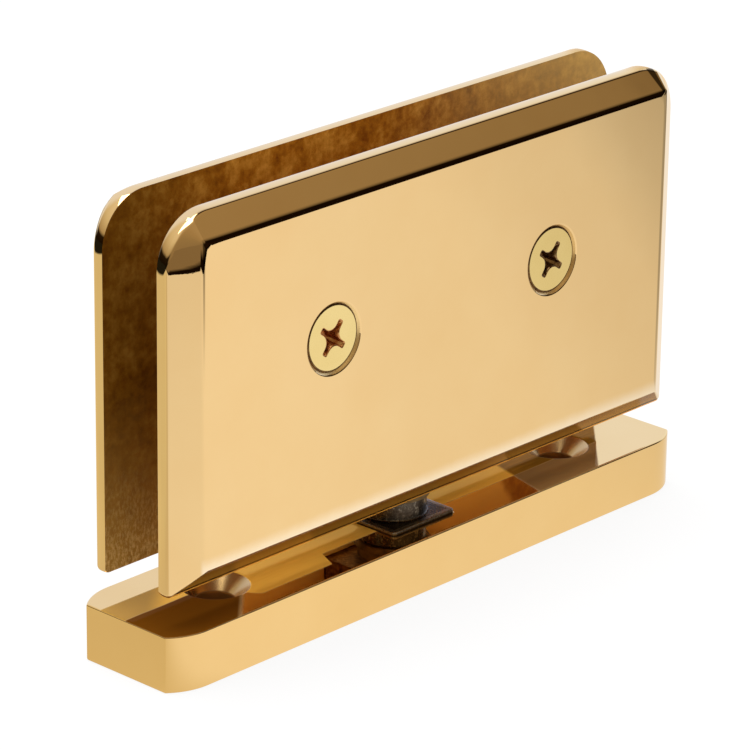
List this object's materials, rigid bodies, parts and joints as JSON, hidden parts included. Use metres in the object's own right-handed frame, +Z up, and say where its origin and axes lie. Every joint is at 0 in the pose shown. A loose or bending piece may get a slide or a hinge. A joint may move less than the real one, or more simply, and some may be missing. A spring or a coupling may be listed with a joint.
{
  "type": "glass door pivot hinge",
  "caption": "Base-mounted pivot hinge for a frameless glass door: a bevelled two-plate glass clamp that swings on a spindle fixed in a flat base bar, with sprung self-centring.",
  "frame": {"origin": "centre of the base plate's underside, on the swing axis", "axes": "+X along the hinge, +Y from the front plate towards the rear plate, +Z up along the swing axis"},
  "size_m": [0.13, 0.0244, 0.0822],
  "materials": {
    "polished_brass": "mirror polished",
    "raw_brass": "as machined, dull",
    "bronze": "sintered bearing bronze",
    "blackened_steel": "blackened",
    "steel": "plain steel"
  },
  "bodies": {
    "base": {"base_plate": "polished_brass", "spindle": "blackened_steel", "spindle_screw": "steel", "thrust_washer": "bronze", "retaining_washer": "steel", "retaining_ring": "steel"},
    "leaf": {"front_plate": "polished_brass", "rear_plate": "polished_brass", "pivot_block": "raw_brass", "block_screws": "steel", "clamp_screw_left": "polished_brass", "clamp_screw_right": "polished_brass", "lower_bush": "bronze", "upper_bush": "bronze", "end_cap": "raw_brass", "spring_left": "steel", "spring_right": "steel", "spring_plug_left": "raw_brass", "spring_plug_right": "raw_brass"},
    "plunger_left": {"plunger_left": "steel"},
    "plunger_right": {"plunger_right": "steel"}
  },
  "joints": [
    {"name": "leaf_swing", "type": "hinge", "parent": "base", "child": "leaf", "pos_m": [0, 0, 0], "axis": [0, 0, 1], "range_deg": [-90, 90]},
    {"name": "plunger_left_slide", "type": "slide", "parent": "leaf", "child": "plunger_left", "axis": [-1, 0, 0], "range_m": [0, 0.0006], "stiffness_N_per_m": 2000, "deforming": ["spring_left"]},
    {"name": "plunger_right_slide", "type": "slide", "parent": "leaf", "child": "plunger_right", "axis": [1, 0, 0], "range_m": [0, 0.0006], "stiffness_N_per_m": 2000, "deforming": ["spring_right"]}
  ]
}
